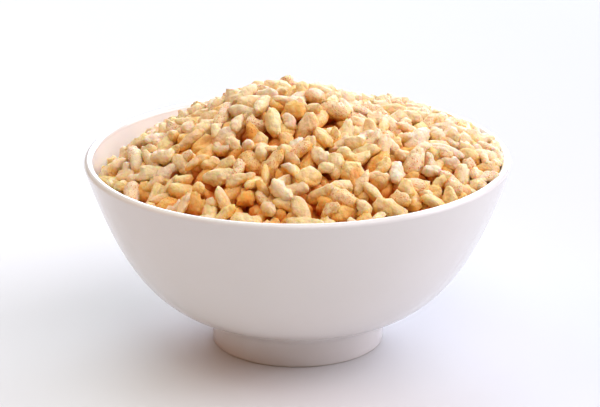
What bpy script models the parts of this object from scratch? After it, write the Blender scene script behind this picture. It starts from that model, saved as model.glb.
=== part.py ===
"""A small white porcelain bowl heaped with puffed rice cereal.

Two solids share one frame: metres, +Z up, the origin on the table under the middle of the foot.
The bowl is one turned shell on a foot ring. The cereal is one body: a core that fills the bowl
just clear of its wall, with the grains that show fused on top.
"""

import math
import random

import bmesh
import bpy
from mathutils import Matrix, Vector, noise

MM = 0.001

# Bowl
RIM_RADIUS = 57.5 * MM
RIM_HEIGHT = 52.7 * MM
LIP_RADIUS = 1.2 * MM
OUTER_ROOT = 7.9 * MM  # height at which the outer wall's curve would meet the axis
OUTER_POWER = 4.3  # height along the outer wall goes as radius to this power
OUTER_START = 0.51  # share of the rim radius at which the outer wall leaves the foot's fillet
INNER_ROOT = 9.1 * MM  # height of the inside at the axis
INNER_POWER = 3.6
FOOT_RADIUS = 23.6 * MM
FOOT_WALL = 4.0 * MM
FILLET_DROP = (2.0 * MM, 4.1 * MM)  # from the wall's end to the fillet's corner, and to its end
FOOT_ROUNDING = 0.5 * MM
FOOT_DRAFT = 0.2 * MM  # how much the foot narrows on its way down
RECESS_DEPTH = 3.4 * MM
RECESS_CROWN = 0.3 * MM  # how much deeper the recess is in its middle
TURN_STEPS = 48
OUTER_RINGS = 7
INNER_RINGS = 7
LIP_RINGS = 4

# Heap of cereal; levels count from the rim's top, and radii as shares of the mouth
FIT_GAP = 0.4 * MM  # between the core and the bowl's inside
MOUTH_RADIUS = RIM_RADIUS - 2 * LIP_RADIUS
EDGE_LEVEL = -3.9 * MM  # where the heap meets the wall, on average
EDGE_LEAN = 4.0 * MM  # how much higher it lies at +X, and lower at -X
DIP_DEPTH = 2.2 * MM  # the low place at the back left
DIP_ANGLE = 150.0  # degrees, as is its width
DIP_WIDTH = 30.0
DOME_LEVEL = 10.5 * MM
DOME_POWER = 3.4
CROWN_HEIGHT = 8.0 * MM  # the steeper pile on top of the dome
CROWN_CENTRE = (-4.2 * MM, 2.0 * MM)
CROWN_RADIUS = 17.9 * MM
CROWN_POWER = 4
CORE_DEPTH = 2.4 * MM  # how far the bare core lies below the tops of the grains
CORE_RINGS = 8
CORE_TURN = 15.0 * MM  # below this depth under the rim the core keeps to the bowl's inside all round
CORE_UNEVEN = 0.4 * MM
CORE_BUMP_SIZE = 6.0 * MM
EDGE_ROUNDS = 12  # steps of the search for where the core meets the wall

# Grains
GRAIN_COUNT = 226
GRAIN_LENGTHS = (9.4 * MM, 6.4 * MM)  # largest first
GRAIN_SLENDERNESS = (0.44, 0.56)  # width over length
GRAIN_FLATNESS = (0.82, 0.98)  # thickness over width
GRAIN_BEND = 0.16
GRAIN_TAPER = 0.22
GRAIN_BLUNTNESS = 0.7  # below 1, a grain's ends are blunter than an egg's
GRAIN_SIDES = 5
GRAIN_RINGS = 3
GRAIN_SINK = 0.45  # a grain's middle lies this share of its thickness below the heap's outline
GRAIN_TILT = 24.0  # degrees
GOLDEN_ANGLE = math.pi * (3 - math.sqrt(5))
STRIDE = 7919  # a prime, so that neighbours on the spiral differ in size
WALL_CLEARANCE = 0.05 * MM
SLIDES = 12  # most moves of a grain away from the wall
FIRST_SEED = 1000
SCRAP_SHARE = 0.01  # a fused shell under this share of the whole is a scrap

PORCELAIN = ((0.86, 0.85, 0.84, 1.0), 0.12)
PUFFED_RICE = ((0.78, 0.53, 0.27, 1.0), 0.7)


def clear_scene():
    for item in list(bpy.data.objects):
        bpy.data.objects.remove(item)


def collection(name):
    made = bpy.data.collections.new(name)
    bpy.context.scene.collection.children.link(made)
    return made


def material(name, colour, roughness):
    made = bpy.data.materials.new(name)
    made.use_nodes = True
    shader = made.node_tree.nodes["Principled BSDF"]
    shader.inputs["Base Color"].default_value = colour
    shader.inputs["Roughness"].default_value = roughness
    shader.inputs["Metallic"].default_value = 0.0
    return made


def wall_height(radius, outer_radius, root, power):
    """Height of a wall curve at a radius: a power of the radius, from the root up to the lip."""
    top = RIM_HEIGHT - LIP_RADIUS
    return root + (top - root) * (radius / outer_radius) ** power


def wall_points(outer_radius, root, power, first, rings):
    """Points up a wall curve from a first share of its radius, evenly spaced as angles are on an arc."""
    start = math.asin(first)
    points = []
    for ring in range(rings + 1):
        radius = outer_radius * math.sin(start + (math.pi / 2 - start) * ring / rings)
        points.append((radius, wall_height(radius, outer_radius, root, power)))
    return points


def inner_wall():
    return wall_points(MOUTH_RADIUS, INNER_ROOT, INNER_POWER, 0.0, INNER_RINGS)


def inner_radius(height):
    """Radius of the bowl's inside at a height below the lip."""
    share = (height - INNER_ROOT) / (RIM_HEIGHT - LIP_RADIUS - INNER_ROOT)
    return MOUTH_RADIUS * min(max(share, 0.0), 1.0) ** (1 / INNER_POWER)


def lip_arc():
    """The half circle over the rim, from the inside to the outside, without its two ends."""
    middle = RIM_RADIUS - LIP_RADIUS
    points = []
    for step in range(1, LIP_RINGS):
        angle = math.pi * (1 - step / LIP_RINGS)
        radius = middle + LIP_RADIUS * math.cos(angle)
        points.append((radius, RIM_HEIGHT - LIP_RADIUS + LIP_RADIUS * math.sin(angle)))
    return points


def fillet():
    """Points on the curve that leads from the wall's slope into the upright side of the foot."""
    wall_radius = RIM_RADIUS * OUTER_START
    wall = wall_height(wall_radius, RIM_RADIUS, OUTER_ROOT, OUTER_POWER)
    corner, end = (wall - drop for drop in FILLET_DROP)
    points = []
    for t in (0.3, 0.6, 1.0):
        radius = FOOT_RADIUS + (wall_radius - FOOT_RADIUS) * (1 - t) ** 2
        points.append((radius, wall * (1 - t) ** 2 + corner * 2 * t * (1 - t) + end * t**2))
    return points


def foot_profile():
    """The foot ring from its fillet under the wall, round its bottom, to the middle of the recess."""
    outside = FOOT_RADIUS - FOOT_DRAFT
    inside = FOOT_RADIUS - FOOT_WALL
    return fillet() + [
        (outside, FOOT_ROUNDING),
        (outside - FOOT_ROUNDING, 0.0),
        (inside + FOOT_ROUNDING, 0.0),
        (inside, FOOT_ROUNDING),
        (inside - FOOT_ROUNDING, RECESS_DEPTH),
        (0.0, RECESS_DEPTH + RECESS_CROWN),
    ]


def bowl_profile():
    """Up the inside from the axis, over the lip, and down the outside to the axis again."""
    outside = wall_points(RIM_RADIUS, OUTER_ROOT, OUTER_POWER, OUTER_START, OUTER_RINGS)
    return inner_wall() + lip_arc() + outside[::-1] + foot_profile()


def turned(name, profile, group):
    """A closed body of revolution about Z, from a profile that starts and ends on the axis."""
    mesh = bpy.data.meshes.new(name)
    links = [(i, i + 1) for i in range(len(profile) - 1)]
    mesh.from_pydata([(radius, 0.0, height) for radius, height in profile], links, [])
    made = bpy.data.objects.new(name, mesh)
    group.objects.link(made)
    screw = made.modifiers.new("turn", "SCREW")
    screw.axis = "Z"
    screw.steps = TURN_STEPS
    screw.render_steps = TURN_STEPS
    screw.use_merge_vertices = True
    screw.merge_threshold = 0.00002
    screw.use_smooth_shade = False
    return made


def apply_modifiers(item):
    graph = bpy.context.evaluated_depsgraph_get()
    mesh = bpy.data.meshes.new_from_object(item.evaluated_get(graph))
    item.modifiers.clear()
    item.data = mesh


def heap_level(x, y):
    """Height of the heap's outline over a point: a flat-topped dome from the edge, and a crown on it."""
    share = min(math.hypot(x, y) / MOUTH_RADIUS, 1.0)
    angle = math.degrees(math.atan2(y, x))
    from_dip = (angle - DIP_ANGLE + 180.0) % 360.0 - 180.0
    edge = EDGE_LEVEL + EDGE_LEAN * math.cos(math.radians(angle))
    edge -= DIP_DEPTH * math.exp(-((from_dip / DIP_WIDTH) ** 2))
    dome = edge + (DOME_LEVEL - edge) * (1 - share**DOME_POWER)
    away = math.hypot(x - CROWN_CENTRE[0], y - CROWN_CENTRE[1]) / CROWN_RADIUS
    return RIM_HEIGHT + dome + CROWN_HEIGHT / (1 + away**CROWN_POWER)


def heap_normal(x, y):
    """Direction straight out of the heap's outline over a point."""
    step = 0.5 * MM
    slope_x = (heap_level(x + step, y) - heap_level(x - step, y)) / (2 * step)
    slope_y = (heap_level(x, y + step) - heap_level(x, y - step)) / (2 * step)
    return Vector((-slope_x, -slope_y, 1.0)).normalized()


def cereal_core(group):
    """The bare core: the bowl's inside less the gap, closed on top just under the grains' tops."""
    below = [point for point in inner_wall() if point[1] < RIM_HEIGHT - CORE_TURN]
    profile = [(0.0, RIM_HEIGHT)]
    for ring in range(1, CORE_RINGS + 1):
        profile.append((MOUTH_RADIUS * ring / CORE_RINGS, RIM_HEIGHT))
    for radius, height in reversed(below):
        profile.append((max(radius - FIT_GAP, 0.0), height + FIT_GAP))
    core = turned("cereal", profile, group)
    apply_modifiers(core)
    for vertex in core.data.vertices:
        if vertex.co.z > RIM_HEIGHT - CORE_TURN:
            shape_core_top(vertex)
    return core


def core_level(x, y):
    """Height of the bare core over a point, the same depth below the outline on a slope as on the flat."""
    return heap_level(x, y) - CORE_DEPTH / heap_normal(x, y).z


def edge_radius(angle):
    """Distance from the axis at which the core meets the bowl's inside, in one direction."""
    radius = MOUTH_RADIUS
    for _ in range(EDGE_ROUNDS):
        level = core_level(radius * math.cos(angle), radius * math.sin(angle))
        radius = inner_radius(level) - FIT_GAP
    return radius


def shape_core_top(vertex):
    """Moves a vertex of the flat top in towards the axis, so the edge meets the wall, and to its height."""
    angle = math.atan2(vertex.co.y, vertex.co.x)
    share = math.hypot(vertex.co.x, vertex.co.y) / MOUTH_RADIUS
    radius = share * edge_radius(angle)
    x, y = radius * math.cos(angle), radius * math.sin(angle)
    bump = noise.noise(Vector((x, y, 0.0)) / CORE_BUMP_SIZE)
    vertex.co = (x, y, core_level(x, y) + CORE_UNEVEN * bump * (1 - share**4))


def grain(name, length, draw):
    """One puffed grain along X: a ball of few sides, drawn out, bent a little and thinner at one end."""
    width = length * draw.uniform(*GRAIN_SLENDERNESS)
    thickness = width * draw.uniform(*GRAIN_FLATNESS)
    bend = draw.uniform(-GRAIN_BEND, GRAIN_BEND) * length
    taper = draw.uniform(-GRAIN_TAPER, GRAIN_TAPER)
    shape = bmesh.new()
    bmesh.ops.create_uvsphere(shape, u_segments=GRAIN_SIDES, v_segments=GRAIN_RINGS, radius=0.5)
    for vertex in shape.verts:
        along = math.copysign(abs(2 * vertex.co.z) ** GRAIN_BLUNTNESS, vertex.co.z)
        across = vertex.co.x * width * (1 + taper * along)
        up = vertex.co.y * thickness * (1 + taper * along)
        vertex.co = (along * length / 2, across + bend * (along**2 - 0.5), up)
    bmesh.ops.recalc_face_normals(shape, faces=shape.faces)
    mesh = bpy.data.meshes.new(name)
    shape.to_mesh(mesh)
    shape.free()
    return mesh, thickness


def grain_lay(x, y, draw):
    """Rotation of a grain that lies on the heap's slope at a random heading, tipped a little."""
    slope = Vector((0.0, 0.0, 1.0)).rotation_difference(heap_normal(x, y)).to_matrix()
    heading = Matrix.Rotation(draw.uniform(0, 2 * math.pi), 3, "Z")
    tip = Matrix.Rotation(math.radians(draw.uniform(-GRAIN_TILT, GRAIN_TILT)), 3, "Y")
    roll = Matrix.Rotation(draw.uniform(0, 2 * math.pi), 3, "X")
    return slope @ heading @ tip @ roll


def wall_overlap(points):
    """How far the furthest of these points reaches past the room inside the bowl."""
    worst = 0.0
    for point in points:
        room = inner_radius(point.z) - FIT_GAP
        if point.z > RIM_HEIGHT - LIP_RADIUS:
            room = MOUTH_RADIUS - FIT_GAP
        worst = max(worst, math.hypot(point.x, point.y) - room)
    return worst


def place_grain(index, draw, group):
    """Sets one grain on the heap, on an even spiral, and slides it in until it clears the wall."""
    share = (index * STRIDE % GRAIN_COUNT + 0.5) / GRAIN_COUNT
    turn = share * GRAIN_COUNT * GOLDEN_ANGLE
    longest, shortest = GRAIN_LENGTHS
    length = longest + (shortest - longest) * index / GRAIN_COUNT
    mesh, thickness = grain(f"grain_{index:03d}", length, draw)
    radius = edge_radius(turn) * math.sqrt(share)
    for _ in range(SLIDES):
        x, y = radius * math.cos(turn), radius * math.sin(turn)
        lay = grain_lay(x, y, random.Random(index))
        middle = Vector((x, y, heap_level(x, y))) - heap_normal(x, y) * thickness * GRAIN_SINK
        place = Matrix.Translation(middle) @ lay.to_4x4()
        over = wall_overlap([place @ vertex.co for vertex in mesh.vertices])
        if over <= 0.0:
            break
        radius -= over + WALL_CLEARANCE
    made = bpy.data.objects.new(mesh.name, mesh)
    made.matrix_world = place
    group.objects.link(made)


def keep_one_shell(item):
    """Removes what fusing leaves apart: sealed pockets, whose faces point inwards, and loose scraps."""
    shape = bmesh.new()
    shape.from_mesh(item.data)
    whole = shape.calc_volume(signed=True)
    unseen = set(shape.faces)
    while unseen:
        shell = {unseen.pop()}
        front = list(shell)
        while front:
            near = {face for edge in front.pop().edges for face in edge.link_faces}
            fresh = near & unseen
            unseen -= fresh
            shell |= fresh
            front.extend(fresh)
        if shell_volume(shell) < SCRAP_SHARE * whole:
            bmesh.ops.delete(shape, geom=list(shell), context="FACES")
            unseen = {face for face in unseen if face.is_valid}
    shape.to_mesh(item.data)
    shape.free()


def shell_volume(faces):
    """Signed volume inside one closed shell of triangles or flat polygons."""
    volume = 0.0
    for face in faces:
        corners = [vertex.co for vertex in face.verts]
        for second, third in zip(corners[1:], corners[2:]):
            volume += corners[0].dot(second.cross(third)) / 6
    return volume


def fuse(core, group):
    """Joins the core and every grain of the group into one body, and removes the grains."""
    union = core.modifiers.new("fuse", "BOOLEAN")
    union.operation = "UNION"
    union.operand_type = "COLLECTION"
    union.collection = group
    union.solver = "EXACT"
    apply_modifiers(core)
    for item in list(group.objects):
        bpy.data.objects.remove(item)
    bpy.data.collections.remove(group)
    keep_one_shell(core)


def smooth(item):
    item.data.shade_smooth()
    item.data.set_sharp_from_angle(angle=math.radians(40))


def make_bowl(group):
    bowl = turned("bowl", bowl_profile(), group)
    apply_modifiers(bowl)
    bowl.data.materials.append(material("porcelain", *PORCELAIN))
    smooth(bowl)


def make_cereal(group):
    grains = collection("grains")
    core = cereal_core(group)
    for index in range(GRAIN_COUNT):
        place_grain(index, random.Random(FIRST_SEED + index), grains)
    bpy.context.view_layer.update()
    fuse(core, grains)
    core.data.materials.clear()
    core.data.materials.append(material("puffed_rice", *PUFFED_RICE))


def main():
    clear_scene()
    group = collection("bowl_of_puffed_rice")
    make_bowl(group)
    make_cereal(group)


main()
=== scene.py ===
"""Looks for a small porcelain bowl heaped with puffed rice cereal.

The bowl is turned finely from its own curves. The cereal is a real heap: grain after grain is laid
down inside the bowl until it reaches the heap's outline, and each kind of grain is one joined mesh.
Lengths in the named values are millimetres, and meshes are in metres.
"""

import math

import bpy
import numpy as np
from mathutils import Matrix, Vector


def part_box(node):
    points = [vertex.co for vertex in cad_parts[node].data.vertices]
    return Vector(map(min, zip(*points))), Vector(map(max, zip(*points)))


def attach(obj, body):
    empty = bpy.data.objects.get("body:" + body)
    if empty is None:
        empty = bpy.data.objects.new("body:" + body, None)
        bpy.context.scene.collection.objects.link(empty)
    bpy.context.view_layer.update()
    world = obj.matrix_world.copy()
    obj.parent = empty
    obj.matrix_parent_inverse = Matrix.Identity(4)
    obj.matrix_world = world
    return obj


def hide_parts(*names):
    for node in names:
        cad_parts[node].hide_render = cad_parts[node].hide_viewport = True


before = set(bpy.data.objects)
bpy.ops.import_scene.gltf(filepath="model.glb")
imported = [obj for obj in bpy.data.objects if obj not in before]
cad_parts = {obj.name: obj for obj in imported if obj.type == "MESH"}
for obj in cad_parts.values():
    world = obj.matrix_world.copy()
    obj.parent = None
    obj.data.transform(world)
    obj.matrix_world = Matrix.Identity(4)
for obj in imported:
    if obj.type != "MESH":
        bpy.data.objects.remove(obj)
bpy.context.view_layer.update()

MM = 0.001
_, BOWL_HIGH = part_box("bowl")

# Bowl
RIM_RADIUS = round(BOWL_HIGH.x / MM, 3)
RIM_HEIGHT = round(BOWL_HIGH.z / MM, 3)
LIP = 1.2  # half the wall's thickness at the rim
MOUTH = RIM_RADIUS - 2 * LIP
OUTER_ROOT, OUTER_POWER = 7.9, 4.3
INNER_ROOT, INNER_POWER = 9.1, 3.6
OUTER_START = 0.51 * RIM_RADIUS  # radius at which the outer wall runs into the foot's fillet
FILLET_DROP = (2.0, 4.1)  # from the wall's end to the fillet's corner, and to its end
FOOT_RADIUS, FOOT_WALL = 23.6, 4.0
FOOT_DRAFT = 0.2
FOOT_ROUNDING = 0.5
RECESS_DEPTH, RECESS_CROWN = 3.4, 0.3
RECESS_START = 1.6  # height at which the recess leaves the foot ring's inner side
RECESS_STEPS = (0.2, 2.2)  # from the ring's inner side to the recess's corner, and to its flat
CROWN_POINT = (8.0, 0.85)  # radius of a point on the recess's crown, and its share of the rise
TURN_SIDES = 256
GLAZE_DARKER = (0.825, 0.808, 0.795)
GLAZE_LIGHTER = (0.845, 0.828, 0.816)
BARE_CLAY = (0.72, 0.69, 0.65)

# Outline of the heap: heights count from the rim
EDGE_LEVEL, EDGE_LEAN = -3.9, 4.0  # of the edge's middle, and how far it rises to the right
DIP_DEPTH, DIP_ANGLE, DIP_WIDTH = 2.2, 150.0, 30.0  # the angles are in degrees
DOME_LEVEL, DOME_POWER = 10.5, 3.4
CROWN_HEIGHT, CROWN_RADIUS, CROWN_POWER = 8.0, 17.9, 4
CROWN_CENTRE = (-4.2, 2.0)

# Unevenness of the heap's top
MOUNDS, RIPPLES, HOLLOWS = 1.4, 0.6, 5.0
LOWERING = 0.8  # of the whole top, since single grains stand out over it
LEFT_SWELL = 2.0  # rise at the left end, where the grains reach the lip
LEFT_END, LEFT_SPREAD = (-50.0, -6.0), (9.0, 20.0)

# Laying the grains
SEED = 20
PILE_DEPTH = 9.5  # of real grains below the outline; the core fills the rest
CELL = 0.45  # of the bed's grid
BED_REACH = 57.0  # of the bed from the bowl's axis, past the middle of the lip
WALL_GAP = 0.1
NO_GROUND = 1000.0  # height of the bed outside the lip, where no grain may lie
MOST_GRAINS = 1500
FIRST_LOOKS, TRIES = 30, 5  # places looked at for a grain, and how many of them are tried
PATIENCE = 4  # rounds of tries for one grain before another is taken
GIVE_UP = 36  # grains in a row without a place that end the laying
FILLER_SIZE = 0.75  # of the grains that fill the last places
LUCK = 1.5  # how much chance counts against missing height when places are picked
LEAST_ROOM = 0.35  # height that has to be missing for a grain, as a share of its thickness
MOUTH_KEEP = 0.8  # from the wall to the outermost middle of a grain
EGG_SHARE = (0.90, 0.95, 0.95)  # of a grain's half sizes that it takes up when laid
FLATNESS = (0.84, 0.98)  # thickness as a share of the width
SINK = 0.8  # how far a grain settles into what is under it
SLOPE_REACH = 0.4  # distance over which the ground's slope counts, as a share of the length
SLOPE_CEILING = 25  # over the rim: no ground counts as higher for its slope
STEEPEST = 1.2
GAP_COST, PROUD_COST, LACK_GAIN = 1.5, 2.5, 0.15
PROUD_FREE, PROUD_MOST = 0.3, 1.2  # how far a grain may stand out at no cost, and at all

# Core under the grains
CORE_GAP = 0.4  # to the bowl's inner wall
CORE_RISE = 1.0  # of the core into the lowest grains
CORE_SIDES, CORE_RINGS, CORE_LOW_RINGS = 160, 44, 24

# Colours of the cereal, and how toasted its grains look, which also carries painted shade at the
# front and deep in the heap and painted light at the right: 0 is plain, 1 is golden all over
CREAM_YELLOW = (0.99, 0.735, 0.38)
CREAM_PINK = (0.99, 0.69, 0.46)
PALE = (0.99, 0.79, 0.59)
GOLD = (0.99, 0.62, 0.21)
AMBER = (0.99, 0.37, 0.04)
# brown of the dark pores, and of painted shade deep in the heap and on the core
PORE_AND_SHADE_BROWN = (0.76, 0.19, 0.028)
TOAST_LEVEL, TOAST_CHANCE = -0.38, 0.26
# painted shade makes the front and the deeply sunk grains more golden, painted light makes the right
# paler; the patches are real toasting
PAINTED_SHADE_FRONT, PAINTED_LIGHT_RIGHT, TOAST_PATCHES = 0.5, 0.16, 0.4
PAINTED_SHADE_SUNK, SUNK_START, SUNK_LENGTH = 1.6, 2.6, 2.8  # for grains whose middle lies this deep
TOAST_RANGE = (-0.6, 1.4)
SKIN_SPREAD = 400  # between the places on the skin's pattern that grains take theirs from


# ---------------------------------------------------------------- shader maths


class Wire:
    """A value in a material, as one output socket. Arithmetic on it adds Math nodes."""

    def __init__(self, recipe, socket):
        self.recipe = recipe
        self.socket = socket

    def math(self, operation, *values):
        """A Math node on this value and others."""
        inputs = dict(enumerate((self, *values)))
        return self.recipe.add("ShaderNodeMath", {"operation": operation}, inputs)

    def __add__(self, other):
        return self.math("ADD", other)

    def __sub__(self, other):
        return self.math("SUBTRACT", other)

    def __mul__(self, other):
        return self.math("MULTIPLY", other)

    def __rsub__(self, other):
        return self.recipe.add("ShaderNodeMath", {"operation": "SUBTRACT"}, {0: other, 1: self})

    __radd__ = __add__
    __rmul__ = __mul__

    def clamped(self):
        """Cut off below 0 and above 1."""
        return self.recipe.add("ShaderNodeClamp", {}, {"Value": self})

    def between(self, low, high):
        """0 below low, 1 above high, and smooth in between."""
        settings = {"interpolation_type": "SMOOTHSTEP"}
        return self.recipe.add("ShaderNodeMapRange", settings, {0: self, 1: low, 2: high})


class Recipe:
    """A material and its node tree."""

    def __init__(self, name):
        self.material = bpy.data.materials.new(name)
        self.material.use_nodes = True
        self.tree = self.material.node_tree
        self.shader = self.tree.nodes["Principled BSDF"]

    def set_input(self, socket, value):
        """Links a value of the tree to a socket, or sets the socket to a plain number or colour."""
        if isinstance(value, Wire):
            self.tree.links.new(value.socket, socket)
        elif isinstance(value, tuple) and len(value) == 3 and socket.type == "RGBA":
            socket.default_value = (*value, 1.0)
        else:
            socket.default_value = value

    def add(self, kind, settings, inputs, output=0):
        """Adds a node of any kind: its settings first, then its inputs, by name or by number."""
        node = self.tree.nodes.new(kind)
        for name, value in settings.items():
            setattr(node, name, value)
        for name, value in inputs.items():
            self.set_input(node.inputs[name], value)
        return Wire(self, node.outputs[output])

    def place(self):
        """The point's place on the object, in metres."""
        return self.add("ShaderNodeTexCoord", {}, {}, "Object")

    def own(self, name, output="Fac"):
        """An attribute that the mesh carries."""
        return self.add("ShaderNodeAttribute", {"attribute_name": name}, {}, output)

    def part(self, vector, axis):
        """One of a vector's parts: X, Y or Z."""
        return self.add("ShaderNodeSeparateXYZ", {}, {0: vector}, axis)

    def noise(self, vector, scale, detail=2.0, roughness=0.5, distortion=0.0):
        inputs = {
            "Vector": vector,
            "Scale": scale,
            "Detail": detail,
            "Roughness": roughness,
            "Distortion": distortion,
        }
        return self.add("ShaderNodeTexNoise", {}, inputs)

    def mix(self, share, first, second):
        """A colour between two colours."""
        inputs = {"Factor": share, "A": first, "B": second}
        node = self.tree.nodes.new("ShaderNodeMix")
        node.data_type = "RGBA"
        for socket in node.inputs:
            if socket.name in inputs and socket.enabled:
                self.set_input(socket, inputs[socket.name])
        return Wire(self, next(out for out in node.outputs if out.enabled))

    def bump(self, height, strength, distance):
        inputs = {"Height": height, "Strength": strength, "Distance": distance}
        return self.add("ShaderNodeBump", {}, inputs)

    def finish(self, **inputs):
        """Sets the shader's own sockets; an underscore stands for a space in a name."""
        for name, value in inputs.items():
            self.set_input(self.shader.inputs[name.replace("_", " ")], value)
        return self.material


# ---------------------------------------------------------------- meshes


def new_piece(name, points, faces, material, smooth=True):
    """A mesh object at the origin from points in millimetres and a list of face arrays."""
    mesh = bpy.data.meshes.new(name)
    corners = np.concatenate([block.reshape(-1) for block in faces]).astype(np.int32)
    sizes = np.concatenate([np.full(len(block), block.shape[1]) for block in faces])
    starts = np.concatenate([[0], np.cumsum(sizes)[:-1]]).astype(np.int32)
    mesh.vertices.add(len(points))
    mesh.vertices.foreach_set("co", (points * MM).astype(np.float32).reshape(-1))
    mesh.loops.add(len(corners))
    mesh.loops.foreach_set("vertex_index", corners)
    mesh.polygons.add(len(sizes))
    mesh.polygons.foreach_set("loop_start", starts)
    mesh.update(calc_edges=True)
    mesh.validate()
    if smooth:
        mesh.shade_smooth()
    piece = bpy.data.objects.new(name, mesh)
    bpy.context.scene.collection.objects.link(piece)
    mesh.materials.append(material)
    return piece


def carry(piece, name, values):
    """Gives the mesh a number, or a vector, at each point for its material to read."""
    kind, key = ("FLOAT", "value") if values.ndim == 1 else ("FLOAT_VECTOR", "vector")
    layer = piece.data.attributes.new(name, kind, "POINT")
    layer.data.foreach_set(key, values.astype(np.float32).reshape(-1))


def tube_faces(rings, sides):
    """Faces of a closed tube of rings of points with a pole at each end: pole, rings, pole."""
    ring = np.arange(sides)
    after = (ring + 1) % sides
    low = 1 + np.arange(rings - 1)[:, None] * sides
    quads = np.stack([low + ring, low + after, low + sides + after, low + sides + ring], -1)
    last = 1 + (rings - 1) * sides
    start = np.stack([np.zeros(sides, int), 1 + after, 1 + ring], -1)
    end = np.stack([np.full(sides, last + sides), last + ring, last + after], -1)
    return quads.reshape(-1, 4), np.concatenate([start, end])


def turned(profile, sides):
    """Points of a closed body of revolution; its profile starts and ends on the axis."""
    angle = np.arange(sides) * (2 * math.pi / sides)
    radius, height = profile[1:-1, 0], profile[1:-1, 1]
    x = radius[:, None] * np.cos(angle)
    y = radius[:, None] * np.sin(angle)
    z = np.broadcast_to(height[:, None], x.shape)
    rings = np.stack([x, y, z], -1).reshape(-1, 3)
    poles = [[0.0, 0.0, profile[0, 1]]], [[0.0, 0.0, profile[-1, 1]]]
    return np.concatenate([poles[0], rings, poles[1]])


# ---------------------------------------------------------------- bowl


def wall_curve(radius, edge, root, power):
    """Height of a wall of the bowl: a power of the radius, from its root to the lip's middle."""
    return root + (RIM_HEIGHT - LIP - root) * (np.asarray(radius) / edge) ** power


def inner_height(radius):
    """Height of the inner wall over a radius."""
    return wall_curve(np.minimum(radius, MOUTH), MOUTH, INNER_ROOT, INNER_POWER)


def inner_radius(height):
    """Radius of the inner wall at a height: the power curve turned round."""
    share = (np.asarray(height) - INNER_ROOT) / (RIM_HEIGHT - LIP - INNER_ROOT)
    return MOUTH * np.clip(share, 0.0, 1.0) ** (1 / INNER_POWER)


def arc(middle, radius, start, end, count):
    """Points on an arc, with its ends, between two angles in degrees."""
    angle = np.radians(np.linspace(start, end, count))
    return np.stack([middle[0] + radius * np.cos(angle), middle[1] + radius * np.sin(angle)], -1)


def bend(first, corner, last, count):
    """Points on a quadratic curve that leaves one point for the corner and arrives from it."""
    t = np.linspace(0, 1, count)[:, None]
    first, corner, last = (np.array(point, float) for point in (first, corner, last))
    return first * (1 - t) ** 2 + corner * 2 * t * (1 - t) + last * t**2


def bowl_profile():
    """Up the inside from the axis, round the lip, down the outside, round the foot to the axis."""
    up = MOUTH * np.sin(np.linspace(0, math.pi / 2, 40))
    inside = np.stack([up, wall_curve(up, MOUTH, INNER_ROOT, INNER_POWER)], -1)
    lip = arc((RIM_RADIUS - LIP, RIM_HEIGHT - LIP), LIP, 180, 0, 17)
    start = math.asin(OUTER_START / RIM_RADIUS)
    down = RIM_RADIUS * np.sin(np.linspace(math.pi / 2, start, 44))
    outside = np.stack([down, wall_curve(down, RIM_RADIUS, OUTER_ROOT, OUTER_POWER)], -1)
    corner, end = (outside[-1, 1] - drop for drop in FILLET_DROP)
    fillet = bend(outside[-1], (FOOT_RADIUS, corner), (FOOT_RADIUS, end), 15)
    side = FOOT_RADIUS - FOOT_DRAFT
    inner = FOOT_RADIUS - FOOT_WALL
    ring = [
        arc((side - FOOT_ROUNDING, FOOT_ROUNDING), FOOT_ROUNDING, 0, -90, 7),
        arc((inner + FOOT_ROUNDING, FOOT_ROUNDING), FOOT_ROUNDING, -90, -180, 7),
    ]
    corner, flat = (inner - step for step in RECESS_STEPS)
    recess = bend((inner, RECESS_START), (corner, RECESS_DEPTH), (flat, RECESS_DEPTH), 6)
    radius, share = CROWN_POINT
    crown = [[radius, RECESS_DEPTH + share * RECESS_CROWN], [0.0, RECESS_DEPTH + RECESS_CROWN]]
    return np.concatenate([inside, lip[1:], outside[1:], fillet[1:], *ring, recess, crown])


def porcelain():
    """White glazed porcelain: even and glossy, with a faint unevenness, and bare under the foot."""
    recipe = Recipe("porcelain")
    place = recipe.place()
    cloud = recipe.noise(place, 35.0, 3.0)
    bare = 1 - recipe.part(place, "Z").between(0.0002, 0.0008)
    glaze = recipe.mix(cloud.between(0.3, 0.7), GLAZE_DARKER, GLAZE_LIGHTER)
    ripple = recipe.noise(place, 150.0, 2.0)
    return recipe.finish(
        Base_Color=recipe.mix(bare, glaze, BARE_CLAY),
        Roughness=cloud.between(0.2, 0.8) * 0.06 + 0.13 + bare * 0.5,
        Normal=recipe.bump(ripple, 0.05, 0.0004),
        Coat_Weight=0.3,
        Coat_Roughness=0.08,
    )


def make_bowl():
    """The bowl as one turned body."""
    profile = bowl_profile()
    points = turned(profile, TURN_SIDES)
    quads, tips = tube_faces(len(profile) - 2, TURN_SIDES)
    bowl = new_piece("porcelain_bowl", points, [quads, tips], porcelain())
    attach(bowl, "root")
    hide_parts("bowl")


# ---------------------------------------------------------------- heap


def heap_level(x, y):
    """Height of the heap's outline: a flat-topped dome up from a leaning edge, and a crown on it."""
    share = np.minimum(np.hypot(x, y) / MOUTH, 1.0)
    angle = np.arctan2(y, x)
    from_dip = (np.degrees(angle) - DIP_ANGLE + 180.0) % 360.0 - 180.0
    edge = EDGE_LEVEL + EDGE_LEAN * np.cos(angle)
    edge = edge - DIP_DEPTH * np.exp(-((from_dip / DIP_WIDTH) ** 2))
    dome = edge + (DOME_LEVEL - edge) * (1 - share**DOME_POWER)
    away = np.hypot(x - CROWN_CENTRE[0], y - CROWN_CENTRE[1]) / CROWN_RADIUS
    return RIM_HEIGHT + dome + CROWN_HEIGHT / (1 + away**CROWN_POWER)


def bent_wave(along, across, rate, bend, bend_rate, shift=0.0):
    """A sine wave along one axis, whose crests bend in a slower wave of the other axis."""
    return np.sin(rate * along + bend * np.sin(bend_rate * across) + shift)


def towards_front(y, start, length):
    """0 behind the start, and from there evenly up to 1 over the length."""
    return np.clip((-y - start) / length, 0, 1)


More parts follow.
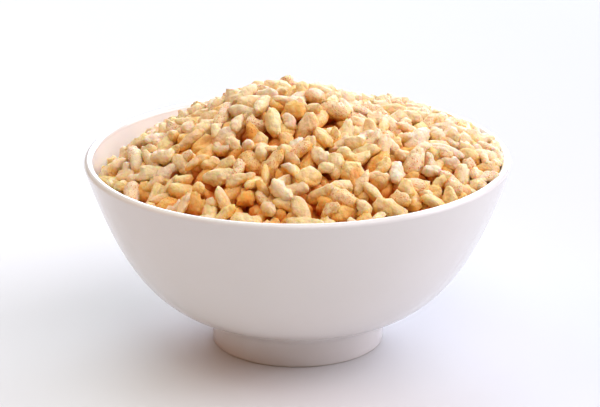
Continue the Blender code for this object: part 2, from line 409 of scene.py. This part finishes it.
def unevenness(x, y):
    """How far the heap's top is above its outline: low mounds and hollows about two grains wide.

    The mounds are a product of two bent waves, the ripples one of two slanting waves, and the
    hollows the third power of what lies below zero in the mounds. All three are stronger towards
    the front. The top is lowered as a whole, meets the outline at the edge, and swells in a bell
    curve at the left end.
    """
    mounds = bent_wave(x, y, 0.43, 0.9, 0.29, 0.6) * bent_wave(y, x, 0.47, 0.8, 0.33)
    ripples = np.sin(0.78 * (x - 0.5 * y) + 2.0) * np.sin(0.71 * (y + 0.6 * x) + 0.3)
    hollows = np.clip(-mounds, 0, 1) ** 3 * (0.4 + 0.9 * towards_front(y, 0.0, 40.0))
    rough = 0.4 + 0.6 * towards_front(y, 0.0, 25.0)
    flat = 1 - np.minimum(np.hypot(x, y) / MOUTH, 1.0) ** 8
    beside = (x - LEFT_END[0]) / LEFT_SPREAD[0]
    before = (y - LEFT_END[1]) / LEFT_SPREAD[1]
    swell = LEFT_SWELL * np.exp(-(beside**2) - before**2)
    return ((MOUNDS * mounds + RIPPLES * ripples - HOLLOWS * hollows) * rough - LOWERING) * flat + swell


class Bed:
    """The top of what is laid so far, as heights on a square grid of cells."""

    def __init__(self):
        count = int(2 * BED_REACH / CELL) + 1
        self.line = (np.arange(count) - (count - 1) / 2) * CELL
        x, y = np.meshgrid(self.line, self.line, indexing="ij")
        reach = np.hypot(x, y)
        self.target = heap_level(x, y) + unevenness(x, y)
        wall = inner_height(reach) + WALL_GAP
        lip = RIM_HEIGHT - LIP + np.sqrt(np.clip(LIP**2 - (reach - MOUTH - LIP) ** 2, 0, None))
        wall = np.where(reach > MOUTH, lip, wall)
        wall[reach > MOUTH + LIP] = NO_GROUND
        self.ground = np.maximum(self.target - PILE_DEPTH, wall)

    def index(self, value):
        """Number of the cell at a place on either axis."""
        return int(round((value - self.line[0]) / CELL))

    def window(self, x, y, reach):
        """Slices of the cells within reach of a point, on both axes."""
        low_x, high_x = self.index(x - reach), self.index(x + reach) + 1
        low_y, high_y = self.index(y - reach), self.index(y + reach) + 1
        return slice(max(low_x, 0), high_x), slice(max(low_y, 0), high_y)

    def lack(self, x, y):
        """Height that is still missing at some places."""
        i = np.round((x - self.line[0]) / CELL).astype(int)
        j = np.round((y - self.line[0]) / CELL).astype(int)
        return self.target[i, j] - self.ground[i, j]

    def slope(self, x, y, reach):
        """Slopes of the plane that fits the ground round a point."""
        rows, columns = self.window(x, y, reach)
        ground = np.minimum(self.ground[rows, columns], RIM_HEIGHT + SLOPE_CEILING)
        across = self.line[rows][:, None] - x
        along = self.line[columns][None, :] - y
        level = ground - ground.mean()
        slope_x = (level * across).sum() / (ground.shape[1] * (across**2).sum())
        slope_y = (level * along).sum() / (ground.shape[0] * (along**2).sum())
        slopes = np.clip([slope_x, slope_y], -STEEPEST, STEEPEST)
        return float(slopes[0]), float(slopes[1])

    def rest(self, x, y, shape):
        """Where an egg comes to rest: its height, the gap under it, how far it stands over the
        top that is aimed at, and the cells and heights that it would cover.

        The shape is a matrix S, and the egg is every point p with p S^-1 p up to 1. Its shadow
        is the ellipse of the first two rows and columns. Over each cell in it, S gives the egg's
        middle and half thickness. The egg comes down until it touches, and then sinks in a little.
        """
        reach = math.sqrt(max(shape[0, 0], shape[1, 1])) + CELL
        rows, columns = self.window(x, y, reach)
        dx = self.line[rows][:, None] - x
        dy = self.line[columns][None, :] - y
        inverse = np.linalg.inv(shape[:2, :2])
        across = inverse[0, 0] * dx**2 + 2 * inverse[0, 1] * dx * dy + inverse[1, 1] * dy**2
        inside = across < 1.0
        if not inside.any():
            return None
        tilt = shape[2, :2] @ inverse
        middle = tilt[0] * dx + tilt[1] * dy
        tallness = shape[2, 2] - tilt @ shape[:2, 2]
        half = np.sqrt(tallness * np.clip(1 - across, 0, 1))
        ground = self.ground[rows, columns]
        height = (ground - middle + half)[inside].max() - SINK
        gap = (height + middle - half - ground)[inside].mean()
        top = height + middle + half
        proud = (top - self.target[rows, columns])[inside].max()
        return height, gap, proud, (rows, columns, inside, top)

    def cover(self, rows, columns, inside, top):
        """Raises the ground to the top of a grain that is laid."""
        patch = self.ground[rows, columns]
        patch[inside] = np.maximum(patch, top)[inside]


def turn_about(axis, angle):
    """Rotation matrix about one of the axes 0, 1 or 2."""
    cosine, sine = math.cos(angle), math.sin(angle)
    matrix = np.eye(3)
    i, j = (axis + 1) % 3, (axis + 2) % 3
    matrix[i, i] = matrix[j, j] = cosine
    matrix[i, j], matrix[j, i] = -sine, sine
    return matrix


def plane_frame(slope_x, slope_y):
    """Axes of a plane with these slopes: two in it, and the third straight out of it."""
    out = np.array([-slope_x, -slope_y, 1.0])
    out /= np.linalg.norm(out)
    side = np.array([1.0, 0.0, slope_x])
    side /= np.linalg.norm(side)
    return np.stack([side, np.cross(out, side), out], axis=1)


def grain_sizes(kind, draw):
    """Length, width and thickness of one grain of a kind."""
    length = draw.uniform(*kind["length"])
    width = draw.uniform(*kind["width"])
    return length, width, width * draw.uniform(*FLATNESS)


def try_place(bed, size, tip, draw):
    """The best of a few random places for a grain, or None when none suits."""
    angle = draw.uniform(0, 2 * math.pi, FIRST_LOOKS)
    radius = (MOUTH - MOUTH_KEEP) * np.sqrt(draw.uniform(0, 1, FIRST_LOOKS))
    xs, ys = radius * np.cos(angle), radius * np.sin(angle)
    lack = bed.lack(xs, ys)
    order = np.argsort(-lack + draw.uniform(0, LUCK, FIRST_LOOKS))[:TRIES]
    half = np.array(size) / 2 * np.array(EGG_SHARE)
    best = None
    for pick in order:
        if lack[pick] < size[2] * LEAST_ROOM:
            continue
        x, y = float(xs[pick]), float(ys[pick])
        lay = plane_frame(*bed.slope(x, y, size[0] * SLOPE_REACH))
        lay = lay @ turn_about(2, draw.uniform(0, 2 * math.pi))
        lay = lay @ turn_about(1, draw.normal(0, tip)) @ turn_about(0, draw.uniform(0, 2 * math.pi))
        shape = lay @ np.diag(half**2) @ lay.T
        found = bed.rest(x, y, shape)
        if found is None:
            continue
        height, gap, proud, cells = found
        too_proud = max(0.0, proud - PROUD_FREE)
        cost = GAP_COST * gap + PROUD_COST * too_proud**2 - LACK_GAIN * lack[pick]
        if best is None or cost < best[0]:
            best = (cost, proud, np.array([x, y, height]), lay, cells)
    if best is None or best[1] > PROUD_MOST:
        return None
    return best


# Share of the grains, sizes in millimetres, and spread of the tip out of the ground's plane in radians
KINDS = {
    "plump": {"share": 0.48, "length": (7.4, 9.8), "width": (4.1, 5.5), "tip": 0.55},
    "slim": {"share": 0.27, "length": (8.0, 10.6), "width": (3.2, 4.3), "tip": 0.55},
    "burst": {"share": 0.16, "length": (7.6, 10.6), "width": (5.0, 6.8), "tip": 0.6},
    "broken": {"share": 0.09, "length": (4.6, 6.6), "width": (3.5, 4.8), "tip": 0.7},
}


def lay_grains():
    """Lays grains of mixed kinds until the heap is full. Gives each kind's list of placed grains."""
    draw = np.random.default_rng(SEED)
    bed = Bed()
    laid = {name: [] for name in KINDS}
    names = list(KINDS)
    shares = np.array([KINDS[name]["share"] for name in names])
    fails = 0
    while sum(map(len, laid.values())) < MOST_GRAINS and fails < GIVE_UP:
        name = names[draw.choice(len(names), p=shares / shares.sum())]
        size = grain_sizes(KINDS[name], draw)
        if fails > GIVE_UP // 2:
            size = tuple(length * FILLER_SIZE for length in size)
        for _ in range(PATIENCE):
            best = try_place(bed, size, KINDS[name]["tip"], draw)
            if best is not None:
                break
        if best is None:
            fails += 1
            continue
        fails = 0
        _, _, centre, lay, cells = best
        bed.cover(*cells)
        laid[name].append((centre, lay, size))
    return laid


# ---------------------------------------------------------------- grains


GROOVE_WIDTH, GROOVE_WIND = 0.42, 0.7  # of the crease, and of its way round the grain, radians
HOLE_PLACE = 0.3  # how far a burst is off the grain's middle at most, in half lengths
HOLE_WIDTH, HOLE_EDGE = 1.1, 1.5  # radians round the grain, and power that makes the edge steep
DEEPEST = 0.8  # share of the half-width that can be pressed in
WAVES = (1, 2, 3)
WAVES_ALONG = 2.2  # radians of a wave from a grain's middle to its end


def grain_shapes(count, looks, draw):
    """Unit grains along X, as an array of count by points by 3, and how deep each point is pressed in.

    A grain is an egg: at a share t of its length its half-width is (1 - |t|^n)^(1/2), where n sets
    how blunt the ends are. It is thinner at one end, bent sideways as t squared, swollen here and
    there by a few waves, and drawn out to three soft corners, which twist a little on their way.
    A crease, which is a groove that winds a little about the grain, runs down one side, and a burst
    grain is pressed in round one spot. Last, each point is moved at random, and the rings are
    slanted, so that no end is square to the grain.
    """
    rings, sides = looks["rings"], looks["sides"]
    t = np.sin(np.linspace(-math.pi / 2, math.pi / 2, rings + 2))[1:-1]
    angle = np.arange(sides) * (2 * math.pi / sides)
    along = np.concatenate([[-1.0], np.repeat(t, sides), [1.0]])[None, :]
    about = np.concatenate([[0.0], np.tile(angle, rings), [0.0]])[None, :]

    blunt = draw.uniform(*looks["blunt"], (count, 1))
    taper = draw.uniform(-looks["taper"], looks["taper"], (count, 1))
    curve = draw.uniform(-looks["bend"], looks["bend"], (count, 1))
    half = np.sqrt(np.clip(1 - np.abs(along) ** blunt, 0, 1)) * (1 + taper * along)
    for waves in WAVES:
        depth = draw.normal(0, looks["lumps"] / waves**0.5, (count, 1))
        shift, twist = draw.uniform(0, 2 * math.pi, (2, count, 1))
        round_wave = np.sin(waves * about + shift)
        long_wave = np.cos(WAVES_ALONG * waves * along + twist)
        half = half * (1 + depth * round_wave * long_wave)
    corners = draw.uniform(0, looks["corners"], (count, 1))
    turn = draw.uniform(0, 2 * math.pi, (count, 1))
    half = half * (1 + corners * np.cos(3 * about + turn + 0.6 * along))

    groove = draw.uniform(0, looks["crease"], (count, 1))
    start = draw.uniform(-math.pi, math.pi, (count, 1))
    wind = draw.normal(0, GROOVE_WIND, (count, 1))
    from_groove = np.angle(np.exp(1j * (about - start - wind * along)))
    pressed = groove * np.exp(-((from_groove / GROOVE_WIDTH) ** 2)) * (1 - along**4)
    spot = draw.uniform(-HOLE_PLACE, HOLE_PLACE, (count, 1))
    spot_along = (along - spot) / looks["hole_length"]
    spot_about = (about - math.pi) / HOLE_WIDTH
    pressed = pressed + looks["hole"] * np.exp(-((spot_along**2 + spot_about**2) ** HOLE_EDGE))

    crumple = draw.normal(0, looks["crumple"], (count, along.size))
    half = half * (1 - np.clip(pressed, 0, DEEPEST)) * (1 + crumple)
    y = half * np.cos(about) + curve * (along**2 - 0.4)
    z = half * np.sin(about)
    shaken = draw.normal(0, looks["crumple"], (count, along.size))
    x = along * (1 - 0.06 * pressed) + 0.5 * shaken
    slant = draw.uniform(-looks["slant"], looks["slant"], (count, 1))
    x = x + slant * half * np.cos(about + draw.uniform(0, 2 * math.pi, (count, 1)))
    return np.stack([x, y, z], -1), pressed


# Shares of a grain's half-width, but for the counts of its points, for blunt, which is a power, and
# for slant and hole_length, which are shares of half its length
LOOKS = {
    "plump": {
        "rings": 7,
        "sides": 11,
        "blunt": (2.1, 3.2),
        "taper": 0.32,
        "bend": 0.2,
        "lumps": 0.12,
        "corners": 0.16,
        "slant": 0.3,
        "crease": 0.34,
        "hole": 0.0,
        "hole_length": 0.4,
        "crumple": 0.11,
    },
    "slim": {
        "rings": 7,
        "sides": 10,
        "blunt": (1.9, 2.8),
        "taper": 0.36,
        "bend": 0.45,
        "lumps": 0.12,
        "corners": 0.16,
        "slant": 0.2,
        "crease": 0.36,
        "hole": 0.0,
        "hole_length": 0.4,
        "crumple": 0.10,
    },
    "burst": {
        "rings": 8,
        "sides": 12,
        "blunt": (2.3, 3.4),
        "taper": 0.26,
        "bend": 0.16,
        "lumps": 0.15,
        "corners": 0.22,
        "slant": 0.4,
        "crease": 0.3,
        "hole": 0.72,
        "hole_length": 0.5,
        "crumple": 0.13,
    },
    "broken": {
        "rings": 6,
        "sides": 10,
        "blunt": (2.2, 4.2),
        "taper": 0.42,
        "bend": 0.16,
        "lumps": 0.17,
        "corners": 0.22,
        "slant": 0.45,
        "crease": 0.4,
        "hole": 0.28,
        "hole_length": 0.5,
        "crumple": 0.13,
    },
}


def toast_and_shade_by_place(x, y):
    """How toasted the grains look by place: in patches, more golden at the front with painted shade,
    and paler at the right with painted light.
    """
    patches = bent_wave(x, y, 0.24, 1.1, 0.19) * bent_wave(y, x, 0.27, 0.9, 0.16, 0.8)
    front = PAINTED_SHADE_FRONT * towards_front(y, 6.0, 32.0)
    return front + TOAST_LEVEL - PAINTED_LIGHT_RIGHT * x / MOUTH + TOAST_PATCHES * patches


def grain_toast_and_shade(centres, draw):
    """How toasted each grain looks: by chance and by its place, and more golden where it lies deep,
    which is painted shade.
    """
    x, y, z = centres[:, 0], centres[:, 1], centres[:, 2]
    sunk = heap_level(x, y) - z
    toast_and_shade = draw.normal(0, TOAST_CHANCE, len(centres)) + toast_and_shade_by_place(x, y)
    deep = np.clip((sunk - SUNK_START) / SUNK_LENGTH, 0, 1)
    return np.clip(toast_and_shade + PAINTED_SHADE_SUNK * deep, *TOAST_RANGE)


def make_grains(name, placed, material, draw):
    """All the grains of one kind as one mesh, each turned and set down where it was laid.

    A point of a grain is its unit point times half the grain's sizes, turned by the grain's matrix
    and moved to its middle. The way out of an egg there is the unit point over the sizes, turned
    alike, and its Z tells how far the skin looks upward.
    """
    looks = LOOKS[name]
    count = len(placed)
    unit, pressed = grain_shapes(count, looks, draw)
    centres = np.array([centre for centre, _, _ in placed])
    lays = np.array([lay for _, lay, _ in placed])
    sizes = np.array([size for _, _, size in placed])
    local = unit * (sizes / 2)[:, None, :]
    points = np.einsum("gij,gpj->gpi", lays, local) + centres[:, None, :]
    per_grain = points.shape[1]
    quads, tips = tube_faces(looks["rings"], looks["sides"])
    first = (np.arange(count) * per_grain)[:, None, None]
    faces = [(quads + first).reshape(-1, 4), (tips + first).reshape(-1, 3)]
    flat = points.reshape(-1, 3)
    piece = new_piece(f"{name}_grains", flat, faces, material)

    # toasting with painted shade and painted light in it, one number for each grain
    carry(piece, "toast_and_shade", np.repeat(grain_toast_and_shade(centres, draw), per_grain))
    carry(piece, "hue", np.repeat(draw.uniform(0, 1, count), per_grain))
    # how far the skin looks upward, which the skin turns into painted shade underneath
    out = np.einsum("gij,gpj->gpi", lays, unit / sizes[:, None, :])
    upward = out[:, :, 2] / (np.linalg.norm(out, axis=2) + 1e-9)
    carry(piece, "upward", upward.reshape(-1))
    carry(piece, "pressed", pressed.reshape(-1))
    carry(piece, "along", unit[:, :, 0].reshape(-1))
    skin_place = local + draw.uniform(0, SKIN_SPREAD, (count, 1, 3))
    carry(piece, "own_place", skin_place.reshape(-1, 3))
    # depth below the outline, which the skin turns into painted shade deep in the heap
    depth = (heap_level(flat[:, 0], flat[:, 1]) - flat[:, 2]) / PILE_DEPTH
    carry(piece, "depth", np.clip(depth, 0, 1))
    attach(piece, "root")
    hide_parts("cereal")


def puffed_skin():
    """Skin of a puffed grain: rounded blisters, which are soft cells of about two millimetres.

    It is cream on top of a grain, palest where it is least toasted, which at the right is painted
    light, and on one in ten. It is golden in mottled patches, at the tips and where it is toasted,
    and with painted shade at the front of the heap, on sunk grains, between the blisters and
    underneath, where it turns amber too. Painted shade also makes it amber in the creases and deep
    in the heap, where the lowest is brown. One grain in six is full of dark pores, and the rest have
    few. Scales count per millimetre, as a grain's own place is in millimetres.
    """
    recipe = Recipe("puffed_rice")
    own = recipe.own("own_place", "Vector")
    toast_and_shade, hue, depth = recipe.own("toast_and_shade"), recipe.own("hue"), recipe.own("depth")
    tip = recipe.own("along").math("ABSOLUTE").between(0.6, 1.0)
    # painted shade: golden and amber on the undersides of the grains
    under = 1 - recipe.own("upward").between(-0.55, 0.75)
    blotch = recipe.noise(own, 0.30, 3.0, 0.55, 0.4)
    swirl = recipe.add("ShaderNodeTexNoise", {}, {"Vector": own, "Scale": 0.8}, "Color")
    wobble = recipe.add(
        "ShaderNodeVectorMath",
        {"operation": "MULTIPLY_ADD"},
        {0: swirl, 1: (0.9, 0.9, 0.9), 2: own},
    )
    cells = {"Vector": wobble, "Scale": 0.5, "Smoothness": 0.3}
    cell = recipe.add("ShaderNodeTexVoronoi", {"feature": "SMOOTH_F1"}, cells, "Distance")
    # the edges between the blisters, which get painted shade
    valley = cell.between(0.35, 0.85)
    fine = recipe.noise(own, 1.9, 2.0, 0.5)
    porous = hue.between(0.62, 0.66) * (1 - hue.between(0.80, 0.84))
    dots = recipe.noise(own, 2.8, 1.0, 0.4)
    pores = dots.between(0.60, 0.67) * (0.85 * porous + 0.15)

    cream = recipe.mix(hue, CREAM_YELLOW, CREAM_PINK)
    # palest where the toasting is least, which takes in painted light on the grains at the right
    cream = recipe.mix((0.05 - toast_and_shade).clamped() * 0.55, cream, PALE)
    colour = recipe.mix(hue.between(0.88, 0.96) * 0.9, cream, PALE)
    # golden and amber from real toasting, mottling and tips, and painted shade between the blisters and
    # underneath
    golden = toast_and_shade * 0.8 + (blotch - 0.5) * 2.0 + valley * 0.2 + tip * 0.2 + under * 0.85 - 0.18
    browned = (blotch - 0.5) * 1.8 + toast_and_shade * 0.9 - 0.86 + valley * 0.2 + under * 0.8
    layers = (
        (golden.clamped(), GOLD),
        (browned.clamped() * 0.85, AMBER),
        # painted shade: amber in the creases and burst holes, and gold, amber and brown deep in the
        # heap
        (recipe.own("pressed").between(0.06, 0.5) * 0.5, AMBER),
        (depth.between(0.12, 0.5) * 0.55, GOLD),
        (depth.between(0.30, 0.75) * 0.9, AMBER),
        (depth.between(0.38, 0.75) * 0.8, PORE_AND_SHADE_BROWN),
        (pores * 0.8, PORE_AND_SHADE_BROWN),
    )
    for share, tone in layers:
        colour = recipe.mix(share, colour, tone)
    relief = 0.82 * (1 - cell) + 0.18 * fine - 0.1 * pores
    return recipe.finish(
        Base_Color=colour,
        Roughness=0.48 + 0.2 * fine,
        Normal=recipe.bump(relief, 0.62, 0.0018),
        Subsurface_Weight=0.95,
        Subsurface_Radius=(0.006, 0.0033, 0.0012),
        Specular_IOR_Level=0.25,
    )


# ---------------------------------------------------------------- core


def core_bumps(x, y):
    """Relief of the core: lumps the size of grains, as products of waves that don't line up."""
    bent = bent_wave(x, y, 1.15, 0.8, 0.7) * bent_wave(y, x, 1.3, 0.9, 0.55)
    slanting = np.sin(0.62 * (x + y) + 1.3) * np.sin(0.7 * (x - y) + 0.4)
    return 0.9 * bent + 0.7 * slanting


def core_level(x, y):
    """Height of the core's top without its bumps."""
    return heap_level(x, y) - PILE_DEPTH + CORE_RISE


def core_edge(angle):
    """Radius at which the core's top meets the bowl's wall, found by going to and fro between them."""
    edge = np.full(len(angle), MOUTH)
    for _ in range(12):
        level = core_level(edge * np.cos(angle), edge * np.sin(angle))
        edge = inner_radius(level) - CORE_GAP
    return edge


def painted_shade_core_finish():
    """Finish of the core: painted shade, dark brown and amber crumbs under a millimetre across, for the
    heap's depths.
    """
    recipe = Recipe("painted_shade_core")
    crumbs = recipe.noise(recipe.place(), 500.0, 3.0, 0.6)
    return recipe.finish(
        Base_Color=recipe.mix(crumbs.between(0.3, 0.7), PORE_AND_SHADE_BROWN, AMBER),
        Roughness=0.8,
        Normal=recipe.bump(crumbs, 0.8, 0.001),
    )


def make_core():
    """The inside of the heap, as one closed body: rings of points go out over its uneven top to the
    wall, and back down to the axis just clear of the bowl."""
    angle = np.arange(CORE_SIDES) * (2 * math.pi / CORE_SIDES)
    edge = core_edge(angle)
    share = np.linspace(0, 1, CORE_RINGS + 1)[1:, None]
    x, y = share * edge * np.cos(angle), share * edge * np.sin(angle)
    fade = 1 - share**6
    top = np.stack([x, y, core_level(x, y) + core_bumps(x, y) * fade], -1)
    down = np.linspace(1, 0, CORE_LOW_RINGS + 2)[1:-1, None] * edge
    wall = inner_height(down) + CORE_GAP
    low = np.stack([down * np.cos(angle), down * np.sin(angle), wall], -1)
    peak = [[0.0, 0.0, float(core_level(0.0, 0.0))]]
    root = [[0.0, 0.0, INNER_ROOT + CORE_GAP]]
    points = np.concatenate([peak, top.reshape(-1, 3), low.reshape(-1, 3), root])
    quads, tips = tube_faces(CORE_RINGS + CORE_LOW_RINGS, CORE_SIDES)
    core = new_piece("heap_core", points, [quads[:, ::-1], tips[:, ::-1]], painted_shade_core_finish())
    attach(core, "root")
    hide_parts("cereal")


def make_heap():
    """The grains, one mesh for each kind, and the core under them."""
    skin = puffed_skin()
    draw = np.random.default_rng(SEED + 1)
    for name, placed in lay_grains().items():
        make_grains(name, placed, skin, draw)
    make_core()


# ---------------------------------------------------------------- surroundings


FLOOR_REACH = 3000.0
FLOOR_PALE = (0.75, 0.753, 0.76)
FLOOR_PAINTED_SHADE = (0.57, 0.572, 0.578)


def make_floor():
    """A pale sheet, a little darker towards the right and the back as painted shade, where the light is
    strongest.
    """
    corners = np.array([[-1, -1, 0], [1, -1, 0], [1, 1, 0], [-1, 1, 0]]) * FLOOR_REACH
    recipe = Recipe("pale_floor")
    place = recipe.place()
    away = recipe.part(place, "X") + recipe.part(place, "Y") * 0.45
    shade = away.between(-0.09, 0.13) * 0.66 + away.between(0.1, 0.3) * 0.34
    finish = recipe.finish(
        Base_Color=recipe.mix(shade, FLOOR_PALE, FLOOR_PAINTED_SHADE),
        Roughness=0.75,
        Specular_IOR_Level=0.2,
    )
    floor = new_piece("floor", corners, [np.array([[0, 1, 2, 3]])], finish, smooth=False)


def area_light(name, place, target, size, power, colour):
    """A square soft light at a place in metres, aimed at a target."""
    data = bpy.data.lights.new(name, "AREA")
    data.shape = "SQUARE"
    data.size = size
    data.energy = power
    data.color = colour
    lamp = bpy.data.objects.new(name, data)
    bpy.context.scene.collection.objects.link(lamp)
    aim = np.array(target) - np.array(place)
    lamp.location = place
    lamp.rotation_euler = (
        math.acos(-aim[2] / np.linalg.norm(aim)),
        0.0,
        math.atan2(aim[1], aim[0]) - math.pi / 2,
    )


LIGHT_REACH = 1.5  # metres from the bowl
LIGHT_SIZE = 1.2  # metres
LIGHT_AIM = (0.0, 0.0, 0.03)
WORLD_COLOUR, WORLD_STRENGTH = (1.0, 0.60, 0.40, 1.0), 0.21
LIGHTS = {  # bearing and height in degrees, watts, colour
    "right_light": (5, 33, 17.0, (0.92, 0.89, 1.0)),
    "low_back_light": (80, 22, 28.6, (0.70, 0.80, 1.0)),
    "top_left_light": (150, 65, 6.1, (0.66, 1.0, 0.88)),
    "left_light": (180, 40, 3.7, (1.0, 0.37, 0.12)),
    "front_top_light": (298, 62, 11.6, (0.92, 0.94, 1.0)),
}


def make_lights():
    """Large soft lights round the bowl, and a dim warm surrounding."""
    for name, (bearing, height, watts, colour) in LIGHTS.items():
        turn, lift = math.radians(bearing), math.radians(height)
        out = LIGHT_REACH * math.cos(lift)
        place = (out * math.cos(turn), out * math.sin(turn), LIGHT_REACH * math.sin(lift))
        area_light(name, place, LIGHT_AIM, LIGHT_SIZE, watts, colour)
    world = bpy.data.worlds.new("studio")
    world.use_nodes = True
    background = world.node_tree.nodes["Background"]
    background.inputs["Color"].default_value = WORLD_COLOUR
    background.inputs["Strength"].default_value = WORLD_STRENGTH
    bpy.context.scene.world = world


CAMERA_ELEVATION = 18.075  # degrees, of the line from the rim's middle to the camera
CAMERA_DISTANCE = 12 * RIM_RADIUS
AIM_BELOW, AIM_RIGHT = 1.116, 0.108  # degrees, of the view's middle from the rim's middle
ROLL = 0.15  # degrees
CAMERA_LENS = 153.4


def make_camera():
    """A camera in front that looks down on the bowl, aimed by angles from the rim's middle."""
    data = bpy.data.cameras.new("camera")
    data.sensor_width = 36.0
    data.lens = CAMERA_LENS
    data.clip_start = 0.05
    camera = bpy.data.objects.new("camera", data)
    elevation = math.radians(CAMERA_ELEVATION)
    back = CAMERA_DISTANCE * math.cos(elevation)
    up = RIM_HEIGHT + CAMERA_DISTANCE * math.sin(elevation)
    camera.location = (0.0, -back * MM, up * MM)
    tilt = math.radians(90 - CAMERA_ELEVATION - AIM_BELOW)
    camera.rotation_euler = (tilt, math.radians(ROLL), math.radians(-AIM_RIGHT))
    bpy.context.scene.collection.objects.link(camera)
    bpy.context.scene.camera = camera


def set_colours():
    """Shows colours as they are, with no film look."""
    view = bpy.context.scene.view_settings
    view.view_transform = "Standard"
    view.look = "None"
    view.exposure = 0.0
    view.gamma = 1.0


make_camera()
make_floor()
make_lights()
set_colours()
make_bowl()
make_heap()
